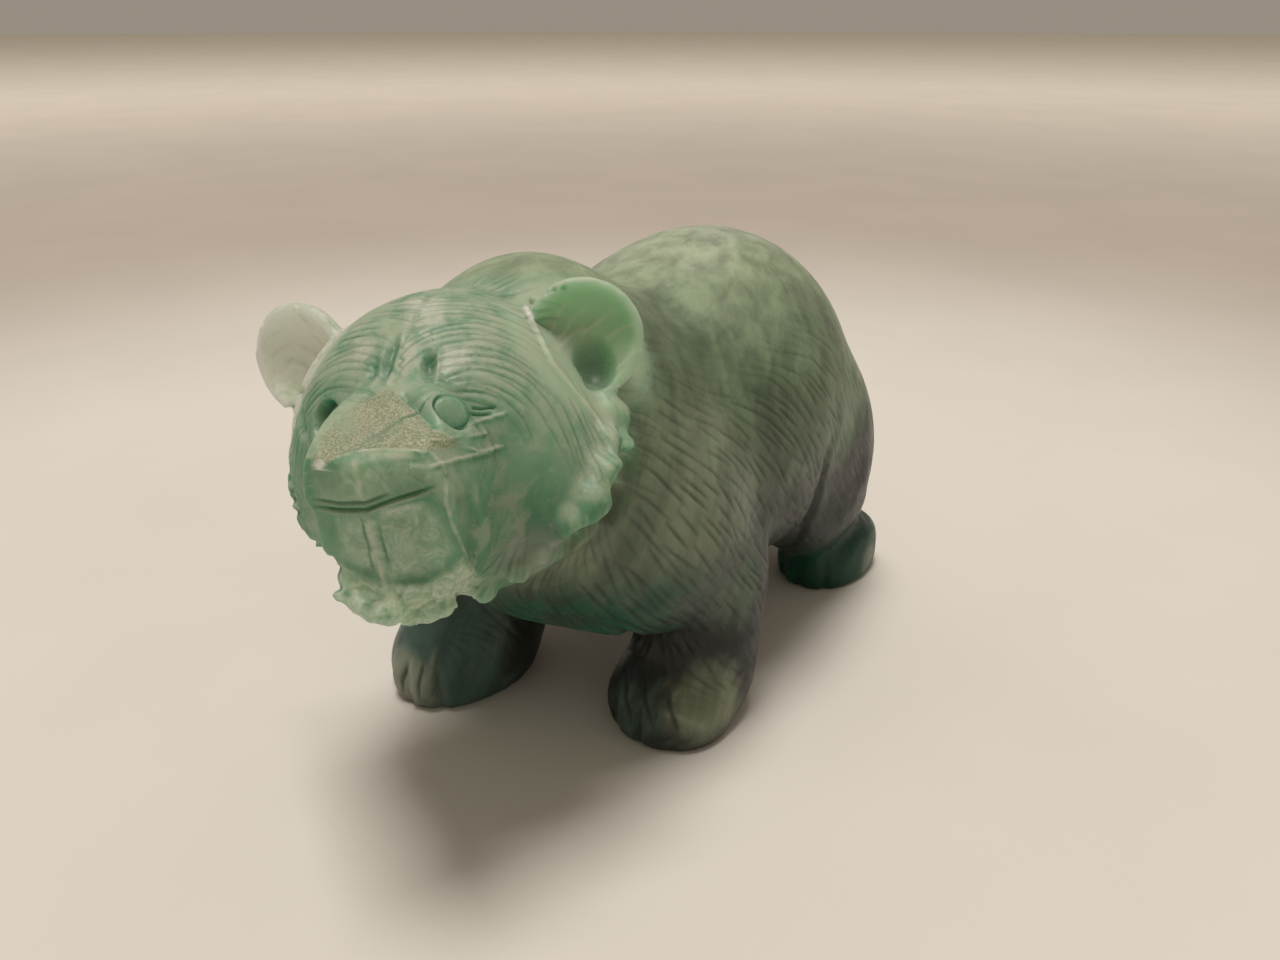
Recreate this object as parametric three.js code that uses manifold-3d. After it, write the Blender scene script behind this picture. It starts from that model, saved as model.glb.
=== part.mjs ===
// A small bear carved from one piece of fluorite, walking, with its head turned to its left.
// Millimetres, +Z up. The bear faces -Y, so its own left side is +X. Its paws stand on Z = 0, and
// X = Y = 0 is the middle of its outline seen from above.

import * as THREE from 'three';
import { mergeVertices } from 'three/addons/utils/BufferGeometryUtils.js';
import Module from 'manifold-3d';

const wasm = await Module();
wasm.setup();

// Driving sizes of the body: round masses, each with its middle and its three radii
const BODY_HALF_WIDTH = 17;
const BARREL = { middle: [0, 3, 27], radii: [BODY_HALF_WIDTH, 24, 15] };
const RUMP = { middle: [0, 14.8, 26.3], radii: [17.2, 21.5, 20.6] };
const HUMP = { middle: [-0.5, -13.5, 36], radii: [11, 11, 13] };
const CHEST = { middle: [0, -11, 25.5], radii: [15, 13, 13] };
const SHOULDER = { middle: [8, -8.5, 23.5], radii: [10, 10.5, 12] };
const TAIL = { middle: [0, 35, 27], radii: [2.6, 3.2, 3.4] };
const NECK = { start: [0, -12, 32], end: [1, -21, 34.5], startRadius: 13, endRadius: 11 };
const BELLY_CLEARANCE = 9.5;

// Driving sizes of the legs. The left fore paw stands below its shoulder, the right one is a stride
// ahead, and the hind feet stand side by side.
const STANCE_HALF_WIDTH = 11.6;
const FORE_LEGS = [
  { side: 1, topY: -2, wristY: -3, pawY: -7, pawX: 11.2, pawRadii: [6.9, 6.4, 6] },
  { side: -1, topY: -4, wristY: -11, pawY: -13, pawX: 13, pawRadii: [7, 9, 8] },
];
const LEG_TOP_HEIGHT = 16;
const LEG_TOP_RADIUS = 7;
const WRIST_HEIGHT = 5;
const WRIST_RADIUS = 6.6;
const PAW_RISE = 2.5;
const THIGH = { middle: [10.6, 26, 18], radii: [6.4, 10.5, 13] };
const HIND_FOOT = { middle: [10.4, 32.3, 2], radii: [6, 8, 6.5] };
const TOES = 4;
const TOE_GROOVE_WIDTH = 1.3;
const TOE_GROOVE_DEPTH = 0.9;

// Driving sizes of the head, in its own place: face towards -Y, middle at the origin
const SKULL = { middle: [0, 2, 3], radii: [12, 12, 11] };
const FACE = { middle: [0, -2, 1], radii: [11.5, 9.5, 10.5] };
const RUFF = { middle: [0, -1.5, -2.3], radii: [14, 7.5, 8.2] };
const MUZZLE = { middle: [0.6, -10, 0], radii: [6.7, 12, 8.8] };
const MUZZLE_FRONTS = [
  { on: [0, -17.4, 0], outward: [-0.3, -1, -0.14] },
  { on: [0, -17.4, 0], outward: [0.08, -1, -0.14] },
];
const MUZZLE_BRIDGE = { on: [0, -10.5, 8], outward: [0, -0.5, 0.87] };
const EAR = { x: 12.3, y: 0.5, z: 8.8, radius: 4.9, backDepth: 2.6, scoopDepth: 1.9, rim: 0.8, splay: 15 };
const RIGHT_EAR_LIFT = 0.7;

// Head pose: where its middle is, and its turn to the bear's left, its tilt and its drop, in degrees
const HEAD_MIDDLE = [1, -25.2, 34.2];
const HEAD_TURN = 24.5;
const HEAD_TILT = -9;
const HEAD_DROP = -10.5;

// Widths of the soft hollows where masses run together
const BODY_BLEND = 6;
const LEG_BLEND = 3;
const HAUNCH_BLEND = 4;
const PAW_BLEND = 2;
const HEAD_BLEND = 4;

// Sides of the grid cells that the skins are drawn on, and how many times the corners are evened out
const BODY_CELL = 2.15;
const HEAD_CELL = 1.65;
const SETTLING_ROUNDS = 4;

// Sides of the round forms, and the size of a block that is larger than the whole figure
const MUZZLE_SIDES = 32;
const EAR_SIDES = 26;
const EAR_STEPS = 5;
const BLOCK_SIDE = 100;

const FLUORITE = { color: '#6f9c84', roughness: 0.35, metalness: 0 };

// Signed distance, near enough, to an ellipsoid that stands square to the axes
function mass({ middle, radii }) {
  const [mx, my, mz] = middle;
  const [rx, ry, rz] = radii;
  return ({ x, y, z }) => {
    const [u, v, w] = [(x - mx) / rx, (y - my) / ry, (z - mz) / rz];
    const near = Math.hypot(u, v, w);
    const slope = Math.hypot(u / rx, v / ry, w / rz);
    return slope === 0 ? -Math.min(rx, ry, rz) : (near * (near - 1)) / slope;
  };
}

// Signed distance to a round bar that tapers from one ball to the next
function limb({ start, end, startRadius, endRadius }) {
  const line = new THREE.Line3(new THREE.Vector3(...start), new THREE.Vector3(...end));
  const nearest = new THREE.Vector3();
  return (point) => {
    const share = line.closestPointToPointParameter(point, true);
    line.at(share, nearest);
    return point.distanceTo(nearest) - THREE.MathUtils.lerp(startRadius, endRadius, share);
  };
}

// How far a soft hollow of the given width pulls the surface out between two forms
function hollow(first, second, width) {
  const share = Math.max(width - Math.abs(first - second), 0) / width;
  return share * share * width * 0.25;
}

// Forms run together, with soft hollows of the given width between them
function joined(width, ...forms) {
  return (point) => forms.map((form) => form(point)).reduce(
    (first, second) => Math.min(first, second) - hollow(first, second, width),
  );
}

// A form cut off below a height, with the edge eased by the given width
function cutBelow(form, height, width) {
  return (point) => {
    const first = form(point);
    const second = height - point.z;
    return Math.max(first, second) + hollow(first, second, width);
  };
}

// A fore leg, from the shoulder to the front of the paw
function foreLeg({ side, topY, wristY, pawY, pawX, pawRadii }) {
  const leg = limb({
    start: [side * STANCE_HALF_WIDTH, topY, LEG_TOP_HEIGHT],
    end: [side * STANCE_HALF_WIDTH, wristY, WRIST_HEIGHT],
    startRadius: LEG_TOP_RADIUS,
    endRadius: WRIST_RADIUS,
  });
  return joined(PAW_BLEND, leg, mass({ middle: [side * pawX, pawY, PAW_RISE], radii: pawRadii }));
}

function mirrored({ middle, radii }, side) {
  return { middle: [side * middle[0], middle[1], middle[2]], radii };
}

// The body on its four legs. The feet reach a little below the ground, where they are cut flat later.
function bodyField() {
  const shoulders = [1, -1].map((side) => mass(mirrored(SHOULDER, side)));
  const core = joined(BODY_BLEND, mass(BARREL), mass(RUMP), mass(HUMP), mass(CHEST), limb(NECK));
  const trunk = joined(LEG_BLEND, core, ...shoulders);
  let form = cutBelow(trunk, BELLY_CLEARANCE, BODY_BLEND);
  form = joined(PAW_BLEND, form, mass(TAIL));
  for (const leg of FORE_LEGS) form = joined(LEG_BLEND, form, foreLeg(leg));
  for (const side of [1, -1]) {
    form = joined(HAUNCH_BLEND, form, mass(mirrored(THIGH, side)));
    form = joined(PAW_BLEND, form, mass(mirrored(HIND_FOOT, side)));
  }
  return form;
}

function headField() {
  return joined(HEAD_BLEND, mass(SKULL), mass(FACE), mass(RUFF));
}

// The box that a set of masses fills, with room for one grid cell on every side
function boxAround(masses, room) {
  const box = new THREE.Box3();
  for (const { middle, radii } of masses) {
    const reach = new THREE.Vector3(...radii).addScalar(room);
    box.expandByPoint(new THREE.Vector3(...middle).add(reach));
    box.expandByPoint(new THREE.Vector3(...middle).sub(reach));
  }
  return box;
}

// One corner for each grid cell that the surface passes through, at the mean of its crossings
function cornersOf(value, counts, cell, origin) {
  const [nx, ny, nz] = counts;
  const at = (i, j, k) => i + nx * (j + ny * k);
  const place = (i, j, k) => new THREE.Vector3(i, j, k).multiplyScalar(cell).add(origin);
  const edges = [];
  for (let a = 0; a < 8; a += 1) {
    for (const bit of [1, 2, 4]) if (!(a & bit)) edges.push([a, a | bit]);
  }
  const numberOf = new Map();
  const points = [];
  for (let k = 0; k < nz - 1; k += 1) {
    for (let j = 0; j < ny - 1; j += 1) {
      for (let i = 0; i < nx - 1; i += 1) {
        const middle = new THREE.Vector3();
        let crossings = 0;
        for (const [a, b] of edges) {
          const from = [i + (a & 1), j + ((a >> 1) & 1), k + (a >> 2)];
          const to = [i + (b & 1), j + ((b >> 1) & 1), k + (b >> 2)];
          const first = value[at(...from)];
          const second = value[at(...to)];
          if (first < 0 !== second < 0) {
            middle.add(place(...from).lerp(place(...to), first / (first - second)));
            crossings += 1;
          }
        }
        if (crossings) {
          numberOf.set(at(i, j, k), points.length);
          points.push(middle.divideScalar(crossings));
        }
      }
    }
  }
  return { points, numberOf };
}

// Two triangles for each grid edge that the surface crosses, split along the shorter diagonal
function facesOf(value, counts, points, numberOf) {
  const [nx, ny, nz] = counts;
  const steps = [1, nx, nx * ny];
  const faces = [];
  for (let k = 1; k < nz - 1; k += 1) {
    for (let j = 1; j < ny - 1; j += 1) {
      for (let i = 1; i < nx - 1; i += 1) {
        const here = i + nx * (j + ny * k);
        const inside = value[here] < 0;
        for (let axis = 0; axis < 3; axis += 1) {
          if (inside === value[here + steps[axis]] < 0) continue;
          const u = steps[(axis + 1) % 3];
          const v = steps[(axis + 2) % 3];
          const ring = [here - u - v, here - v, here, here - u].map((c) => numberOf.get(c));
          if (!inside) ring.reverse();
          const [a, b, c, d] = ring;
          if (points[a].distanceTo(points[c]) < points[b].distanceTo(points[d])) {
            faces.push([a, b, c], [a, c, d]);
          } else {
            faces.push([b, c, d], [b, d, a]);
          }
        }
      }
    }
  }
  return faces;
}

// Evens out the triangles and draws their corners back onto the zero level of the field
function settle(points, faces, field, cell) {
  const reach = cell * 0.05;
  const neighbours = points.map(() => new Set());
  for (const face of faces) {
    face.forEach((a, n) => neighbours[a].add(face[(n + 1) % 3]).add(face[(n + 2) % 3]));
  }
  const probe = new THREE.Vector3();
  const change = (p, axis) => {
    const ahead = field(probe.copy(p).setComponent(axis, p.getComponent(axis) + reach));
    const behind = field(probe.copy(p).setComponent(axis, p.getComponent(axis) - reach));
    return (ahead - behind) / (2 * reach);
  };
  for (let round = 0; round < SETTLING_ROUNDS; round += 1) {
    const eased = points.map((p, n) => {
      const middle = new THREE.Vector3();
      for (const m of neighbours[n]) middle.add(points[m]);
      return p.clone().lerp(middle.divideScalar(neighbours[n].size), 0.5);
    });
    eased.forEach((p, n) => {
      const slope = new THREE.Vector3(change(p, 0), change(p, 1), change(p, 2));
      const step = field(p) / Math.max(slope.lengthSq(), 0.25);
      points[n].copy(p.addScaledVector(slope, -THREE.MathUtils.clamp(step, -cell, cell)));
    });
  }
}

// A closed skin of even triangles over the zero level of a field, inside a box
function skinOf(field, box, cell) {
  const size = box.getSize(new THREE.Vector3()).divideScalar(cell);
  const counts = [size.x, size.y, size.z].map((n) => Math.ceil(n) + 1);
  const [nx, ny, nz] = counts;
  const value = new Float32Array(nx * ny * nz);
  const point = new THREE.Vector3();
  for (let n = 0; n < value.length; n += 1) {
    point.set(n % nx, Math.floor(n / nx) % ny, Math.floor(n / (nx * ny)));
    value[n] = field(point.multiplyScalar(cell).add(box.min));
  }
  const { points, numberOf } = cornersOf(value, counts, cell, box.min);
  const faces = facesOf(value, counts, points, numberOf);
  settle(points, faces, field, cell);
  const geometry = new THREE.BufferGeometry();
  geometry.setAttribute('position', new THREE.Float32BufferAttribute(points.flatMap((p) => p.toArray()), 3));
  geometry.setIndex(faces.flat());
  return geometry;
}

// A closed mesh made into a solid that can be joined and cut
function solidOf(geometry) {
  const bare = geometry.clone();
  bare.deleteAttribute('normal');
  bare.deleteAttribute('uv');
  const merged = mergeVertices(bare, 1e-4);
  return new wasm.Manifold(new wasm.Mesh({
    numProp: 3,
    vertProperties: new Float32Array(merged.attributes.position.array),
    triVerts: new Uint32Array(merged.index.array),
  }));
}

function geometryOf(solid) {
  const mesh = solid.getMesh();
  const geometry = new THREE.BufferGeometry();
  geometry.setAttribute('position', new THREE.BufferAttribute(new Float32Array(mesh.vertProperties), 3));
  geometry.setIndex(new THREE.BufferAttribute(new Uint32Array(mesh.triVerts), 1));
  return geometry;
}

// A solid with all that lies beyond a plane cut away
function facet(solid, { on, outward }) {
  const direction = new THREE.Vector3(...outward).normalize();
  const block = new THREE.BoxGeometry(BLOCK_SIDE, BLOCK_SIDE, BLOCK_SIDE).translate(0, 0, BLOCK_SIDE / 2);
  block.applyQuaternion(new THREE.Quaternion().setFromUnitVectors(new THREE.Vector3(0, 0, 1), direction));
  return solid.subtract(solidOf(block.translate(...on)));
}

// The muzzle: an egg lying forward, ground to a flat bridge above and to two flats in front that
// meet below the nose
function muzzle() {
  const ball = new THREE.SphereGeometry(1, MUZZLE_SIDES, MUZZLE_SIDES * 0.7);
  const egg = ball.scale(...MUZZLE.radii).translate(...MUZZLE.middle);
  return [...MUZZLE_FRONTS, MUZZLE_BRIDGE].reduce(facet, solidOf(egg));
}

// A round ear, scooped out in front to a thin rim
function ear(side) {
  const { x, y, z, radius, backDepth, scoopDepth, rim, splay } = EAR;
  const down = -Math.PI / 2;
  const back = new THREE.EllipseCurve(0, 0, radius, backDepth, down, 0).getPoints(EAR_STEPS);
  const scoop = new THREE.EllipseCurve(0, rim, radius - rim, scoopDepth, 0, down, true).getPoints(EAR_STEPS);
  const outline = [...back, new THREE.Vector2(radius, rim), ...scoop];
  const geometry = new THREE.LatheGeometry(outline, EAR_SIDES).rotateX(Math.PI);
  geometry.rotateZ(THREE.MathUtils.degToRad(side * splay));
  return solidOf(geometry.translate(side * x, y, side > 0 ? z : z + RIGHT_EAR_LIFT));
}

// The upright grooves between the toes of one foot: thin wedges let into its front, from just below
// the ground to the top of the toes
function toeGrooves({ middle, radii }) {
  const grooves = [];
  const below = 1;
  const height = radii[2] + below;
  for (let n = 1; n < TOES; n += 1) {
    const across = (2 * n) / TOES - 1;
    const front = middle[1] - radii[1] * Math.sqrt(1 - across ** 2);
    const wedge = new THREE.CylinderGeometry(1, 1, height, 3).rotateX(Math.PI / 2);
    wedge.scale(TOE_GROOVE_WIDTH / 2, TOE_GROOVE_DEPTH * 2, 1);
    grooves.push(solidOf(wedge.translate(middle[0] + across * radii[0], front, height / 2 - below)));
  }
  return grooves;
}

function headPlace() {
  const [drop, tilt, turn] = [HEAD_DROP, HEAD_TILT, HEAD_TURN].map(THREE.MathUtils.degToRad);
  return new THREE.Matrix4().makeRotationFromEuler(new THREE.Euler(drop, tilt, turn, 'ZXY'))
    .setPosition(...HEAD_MIDDLE);
}

function head() {
  const box = boxAround([SKULL, FACE, RUFF], 2 * HEAD_CELL);
  let solid = solidOf(skinOf(headField(), box, HEAD_CELL)).add(muzzle());
  for (const side of [1, -1]) solid = solid.add(ear(side));
  return solidOf(geometryOf(solid).applyMatrix4(headPlace()));
}

function body() {
  const paws = FORE_LEGS.map(({ side, pawX, pawY, pawRadii }) => (
    { middle: [side * pawX, pawY, PAW_RISE], radii: pawRadii }
  ));
  const feet = [...paws, mirrored(HIND_FOOT, 1), mirrored(HIND_FOOT, -1)];
  const neckEnd = { middle: NECK.end, radii: [NECK.endRadius, NECK.endRadius, NECK.endRadius] };
  const box = boxAround([BARREL, RUMP, HUMP, CHEST, TAIL, neckEnd, ...feet], 3 * BODY_CELL);
  let solid = solidOf(skinOf(bodyField(), box, BODY_CELL));
  for (const foot of feet) {
    for (const groove of toeGrooves(foot)) solid = solid.subtract(groove);
  }
  return facet(solid, { on: [0, 0, 0], outward: [0, 0, -1] });
}

// The finished figure, moved so that its outline from above is centred on the origin
function bear() {
  const geometry = geometryOf(body().add(head()));
  geometry.computeBoundingBox();
  const { min, max } = geometry.boundingBox;
  return geometry.translate(-(min.x + max.x) / 2, -(min.y + max.y) / 2, 0);
}

const figure = new THREE.Mesh(bear(), new THREE.MeshStandardMaterial(FLUORITE));
figure.name = 'fluorite_bear';
const part = new THREE.Group();
part.add(figure);
export default part;
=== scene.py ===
import math

import bpy
import numpy as np
from mathutils import Euler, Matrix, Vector
from mathutils.bvhtree import BVHTree
from mathutils.kdtree import KDTree


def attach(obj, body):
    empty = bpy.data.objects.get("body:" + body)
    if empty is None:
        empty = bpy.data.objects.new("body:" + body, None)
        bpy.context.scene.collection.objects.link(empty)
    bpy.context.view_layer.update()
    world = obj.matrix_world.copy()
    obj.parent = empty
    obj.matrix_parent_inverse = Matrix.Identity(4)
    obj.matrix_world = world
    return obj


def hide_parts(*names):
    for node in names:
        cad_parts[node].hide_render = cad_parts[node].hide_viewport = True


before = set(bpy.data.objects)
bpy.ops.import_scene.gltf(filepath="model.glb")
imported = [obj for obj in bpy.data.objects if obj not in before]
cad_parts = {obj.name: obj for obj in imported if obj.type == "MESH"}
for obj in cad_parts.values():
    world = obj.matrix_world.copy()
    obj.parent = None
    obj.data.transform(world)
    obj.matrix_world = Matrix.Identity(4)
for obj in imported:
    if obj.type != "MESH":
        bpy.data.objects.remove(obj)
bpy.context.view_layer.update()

# The view. The camera stands at the front left of the bear, a hand's breadth away and a little above it,
# where the photograph was taken from. Carved marks are placed by looking through it.
MM = 0.001
PICTURE_WIDTH = 1280
PICTURE_HEIGHT = 960
FOCAL_PIXELS = 1005
SENSOR_WIDTH = 36
CAMERA_PLACE = Vector((59.02, -79.19, 68.34))
CAMERA_TURN = Euler((math.radians(65), 0, math.radians(35)))

bpy.ops.object.camera_add(location=CAMERA_PLACE * MM, rotation=CAMERA_TURN)
camera = bpy.context.object
camera.data.sensor_width = SENSOR_WIDTH
camera.data.lens = SENSOR_WIDTH * FOCAL_PIXELS / PICTURE_WIDTH
camera.data.clip_start = MM
bpy.context.scene.camera = camera


def sight(pixel):
    """The direction from the camera through a pixel of the picture."""
    across = (pixel[0] - PICTURE_WIDTH / 2) / FOCAL_PIXELS
    down = (pixel[1] - PICTURE_HEIGHT / 2) / FOCAL_PIXELS
    return (CAMERA_TURN.to_matrix() @ Vector((across, -down, -1))).normalized()


# The bear is one piece of banded green and purple fluorite, sawn to a block, ground to rough masses
# and then cut with small wheels and points. Its head is turned to its left and the face is left frosted.
# Sizes are in millimetres, and the head has axes of its own that the marks on it are placed by.
NODE = "fluorite_bear"
HEAD_MIDDLE = Vector((1.714, -24.525, 34.2))
HEAD_TURN = Euler((0, 0, math.radians(24.5))).to_matrix()
HEAD_DROP = Euler((math.radians(-10.5), 0, 0)).to_matrix()
HEAD_TILT = Euler((0, math.radians(-9), 0)).to_matrix()
HEAD_AXES = HEAD_TURN @ HEAD_DROP @ HEAD_TILT
FACE_MIDDLE = 0.8
MERGE_GAP = 0.002


def choose(piece):
    """Makes one piece the only one that the next operator acts on."""
    bpy.ops.object.select_all(action="DESELECT")
    piece.select_set(True)
    bpy.context.view_layer.objects.active = piece


def from_head(place):
    """A place in the head's own axes as a place on the bear."""
    return HEAD_AXES @ Vector(place) + HEAD_MIDDLE


def to_head(place):
    """A place on the bear as one in the head's own axes."""
    return HEAD_AXES.transposed() @ (Vector(place) - HEAD_MIDDLE)


bear = bpy.data.objects.new("carved_bear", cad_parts[NODE].data.copy())
bpy.context.scene.collection.objects.link(bear)
choose(bear)
bpy.ops.object.mode_set(mode="EDIT")
bpy.ops.mesh.select_all(action="SELECT")
bpy.ops.mesh.remove_doubles(threshold=MERGE_GAP * MM)
bpy.ops.object.mode_set(mode="OBJECT")

# The hind feet are flat blocks of the same stone. Their outer back corner is left square, and the ankle
# is ground almost as wide as the haunch above it.
ANKLE_SIDE = 11.1
ANKLE_BACK = 33.0
ANKLE_HEIGHT = 8.5
ANKLE_REACH = 5.0
ANKLE_PUSH = 1.4
FOOT_HALF_WIDTH = 6.0
FOOT_HALF_LENGTH = 8.0
FOOT_TOP = 8.0
FOOT_EASE = 4
FOOT_SQUARENESS = 0.6
OUTER_BACK = (0.82, 0.57)
LEAST_SPAN = 0.1
for vertex in bear.data.vertices:
    place = vertex.co / MM
    way = math.copysign(1, place.x)
    aside = way * place.x - ANKLE_SIDE
    behind = place.y - ANKLE_BACK
    span = max(math.hypot(aside, behind), LEAST_SPAN)
    toward = max(0.0, (aside * OUTER_BACK[0] + behind * OUTER_BACK[1]) / span)
    push = ANKLE_PUSH * toward * max(0.0, 1 - ((place.z - ANKLE_HEIGHT) / ANKLE_REACH) ** 2)
    if aside > 0 and behind > 0 and place.z < FOOT_TOP:
        across = aside / FOOT_HALF_WIDTH
        along = behind / FOOT_HALF_LENGTH
        square = math.hypot(across, along) / (across ** 3 + along ** 3) ** (1 / 3) - 1
        push += FOOT_SQUARENESS * span * square * min(1.0, (FOOT_TOP - place.z) / FOOT_EASE)
    vertex.co += Vector((way * aside / span, behind / span, 0)) * push * MM

# Curls of fur that stand out of the outline are left as small knobs of stone, under the jaw, along the
# chin and behind the cheek. Each is given by the pixel where the picture shows it, and its radius.
JAW_CURLS = [((517, 569), 1.2), ((484, 589), 1.15), ((541, 553), 1.0)]
CHIN_CURLS = [
    ((343, 592), 0.8), ((358, 602), 0.85), ((374, 609), 0.9), ((391, 614), 0.95),
    ((409, 614), 0.95), ((427, 611), 0.9), ((445, 605), 0.9),
]
CHEEK_CURLS = [
    ((607, 418), 1.9), ((611, 446), 2.0), ((605, 474), 1.9), ((590, 499), 1.8), ((572, 520), 1.7),
]
CURL_STRETCH = 1.1
CURL_ROUNDNESS = 3
HALF_WAY = 0.5
NEAR_DEPTH = 62
FAR_DEPTH = 92
DEPTH_STEP = 0.4


def surface_of(piece):
    """The piece's surface as a tree that rays and nearest points are found with."""
    points = [vertex.co / MM for vertex in piece.data.vertices]
    faces = [tuple(face.vertices) for face in piece.data.polygons]
    return BVHTree.FromPolygons(points, faces)


def beside_stone(surface, pixel):
    """The place on a line of sight that comes nearest to the head, for what stands out of its outline."""
    direction = sight(pixel)
    depths = np.arange(NEAR_DEPTH, FAR_DEPTH, DEPTH_STEP)
    gaps = [surface.find_nearest(CAMERA_PLACE + direction * depth)[3] for depth in depths]
    return CAMERA_PLACE + direction * depths[int(np.argmin(gaps))]


rough_surface = surface_of(bear)
curls = []
for pixel, size in JAW_CURLS + CHIN_CURLS + CHEEK_CURLS:
    place = beside_stone(rough_surface, pixel)
    root = rough_surface.find_nearest(place)[0]
    for middle in (place, place.lerp(root, HALF_WAY)):
        bpy.ops.object.select_all(action="DESELECT")
        bpy.ops.mesh.primitive_ico_sphere_add(
            subdivisions=CURL_ROUNDNESS, radius=size * MM, location=middle * MM)
        curl = bpy.context.object
        outward = (middle - HEAD_MIDDLE).normalized()
        curl.rotation_euler = outward.to_track_quat("Z", "Y").to_euler()
        curl.scale = (1, 1, CURL_STRETCH)
        bpy.ops.object.transform_apply(location=True, rotation=True, scale=True)
        curls.append(curl)
choose(bear)
for curl in curls:
    curl.select_set(True)
bpy.ops.object.join()

# The rough masses are ground into one skin and polished. The edges of the ears, muzzle and jaw are kept
# crisper than the round body, and the face gets a finer grain, because its cuts are the smallest.
ROUGH_GRAIN = 0.4
POLISHING = 0.5
POLISHING_ROUNDS = 10
CRISP = 0.25
EAR_SIDE = 9
EAR_FOOT = 3.5
MUZZLE_START = -12.5
MUZZLE_FOOT = -9
JAW_START = -3
JAW_TOP = -6
FACE_BACK = 1
FACE_REACH = 22
FACE_FOOT = -12


def finish_with(piece, kind, **settings):
    """Adds a modifier with its settings and applies it."""
    choose(piece)
    modifier = piece.modifiers.new(kind.lower(), kind)
    for name, value in settings.items():
        setattr(modifier, name, value)
    bpy.ops.object.modifier_apply(modifier=modifier.name)


finish_with(bear, "REMESH", mode="VOXEL", voxel_size=ROUGH_GRAIN * MM)
polished = bear.vertex_groups.new(name="polished")
for vertex in bear.data.vertices:
    place = to_head(vertex.co / MM)
    on_ear = abs(place.x) > EAR_SIDE and place.z > EAR_FOOT
    on_muzzle = place.y < MUZZLE_START and place.z > MUZZLE_FOOT
    on_jaw = place.y < JAW_START and place.z < JAW_TOP
    polished.add([vertex.index], CRISP if on_ear or on_muzzle or on_jaw else 1, "REPLACE")
finish_with(bear, "SMOOTH", factor=POLISHING, iterations=POLISHING_ROUNDS, vertex_group="polished")
finish_with(bear, "SUBSURF", levels=1, render_levels=1)
bpy.ops.object.mode_set(mode="EDIT")
bpy.ops.mesh.select_mode(type="FACE")
bpy.ops.mesh.select_all(action="DESELECT")
bpy.ops.object.mode_set(mode="OBJECT")
for face in bear.data.polygons:
    place = to_head(face.center / MM)
    face.select = place.y < FACE_BACK and place.length < FACE_REACH and place.z > FACE_FOOT
bpy.ops.object.mode_set(mode="EDIT")
bpy.ops.mesh.subdivide(number_cuts=1)
bpy.ops.object.mode_set(mode="OBJECT")

# The carving. Wheels and points take away thin lines of stone and leave ridges between them. Each point
# of the mesh gathers how far it moves, and how much of each kind of mark it bears for the colours later:
# frost on ridges, gold sand, cut, white chip and painted highlight, smooth hollow, milky haze, silver
# frost and painted highlight, and pale or teal streak.
LINE_STEP = 3.0
LINE_BREAK = 2
USUAL_TAPER = 0.15
surface = surface_of(bear)
count = len(bear.data.vertices)
stone = np.empty(count * 3)
bear.data.vertices.foreach_get("co", stone)
stone = stone.reshape(-1, 3) / MM
facing = np.empty(count * 3)
bear.data.vertices.foreach_get("normal", facing)
facing = facing.reshape(-1, 3)
on_head = (stone - np.array(HEAD_MIDDLE)) @ np.array(HEAD_AXES)
finder = KDTree(count)
for index, place in enumerate(stone):
    finder.insert(place, index)
finder.balance()

relief = np.zeros(count)
moved = np.zeros((count, 3))
fur = np.zeros(count)
clear = np.zeros(count)
MARKS = ("frost", "gold", "cut", "chip_and_highlight", "smooth", "haze", "silver_and_highlight", "pale", "teal")
marks = {name: np.zeros(count) for name in MARKS}


def on_stone(pixels):
    """The line that some pixels of the picture, joined by straight lines, make on the stone."""
    line = []
    for start, end in zip(pixels[:-1], pixels[1:]):
        pieces = max(1, int(math.dist(start, end) / LINE_STEP))
        for number in range(pieces):
            share = number / pieces
            pixel = [a + (b - a) * share for a, b in zip(start, end)]
            line.append(surface.ray_cast(CAMERA_PLACE, sight(pixel))[0])
    line.append(surface.ray_cast(CAMERA_PLACE, sight(pixels[-1]))[0])
    line = [place for place in line if place is not None]
    return [
        place for number, place in enumerate(line)
        if number == 0 or (place - line[number - 1]).length < LINE_BREAK
    ]


def mirrored_line(line):
    """The same line on the other side of the face."""
    other = []
    for place in line:
        flipped = to_head(place)
        flipped.x = 2 * FACE_MIDDLE - flipped.x
        other.append(surface.find_nearest(from_head(flipped))[0])
    return other


def around(line, reach):
    """The points of the stone within reach of a line, how far off each is, and how far along."""
    line = np.array([tuple(place) for place in line])
    if len(line) < 2:
        return None
    middle = (line.min(0) + line.max(0)) / 2
    radius = np.linalg.norm(line - middle, axis=1).max() + reach
    found = np.array([index for _, index, _ in finder.find_range(middle, radius)])
    if not len(found):
        return None
    start = line[:-1]
    stretch = line[1:] - start
    size = np.maximum((stretch ** 2).sum(1), 1e-9)
    offset = stone[found][:, None] - start[None]
    share = np.clip((offset * stretch).sum(2) / size, 0, 1)
    gap = np.linalg.norm(offset - share[..., None] * stretch, axis=2)
    nearest = gap.argmin(1)
    rows = np.arange(len(found))
    off = gap[rows, nearest]
    along = (nearest + share[rows, nearest]) / len(start)
    near = off < reach
    return found[near], off[near], along[near]


def rounded(share):
    """A share from 0 to 1, eased at both ends."""
    return share * share * (3 - 2 * share)


def cut(line, width, height, mark=None, taper=USUAL_TAPER, flat=0.0):
    """Works a groove, or where height is above nothing a ridge, along a line on the stone."""
    found = around(line, width)
    if found is None:
        return
    rows, off, along = found
    shape = rounded(np.clip((1 - off / width) / (1 - flat), 0, 1))
    clear[rows] = np.maximum(clear[rows], np.sqrt(shape))
    shape *= np.clip(np.minimum(along, 1 - along) / taper, 0, 1)
    relief[rows] += height * shape
    if mark:
        marks[mark][rows] = np.maximum(marks[mark][rows], shape)


def cut_all(lines, width, height, mark=None, taper=USUAL_TAPER):
    """Cuts marks where the picture shows them."""
    for pixels in lines:
        cut(on_stone(pixels), width, height, mark, taper)


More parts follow.
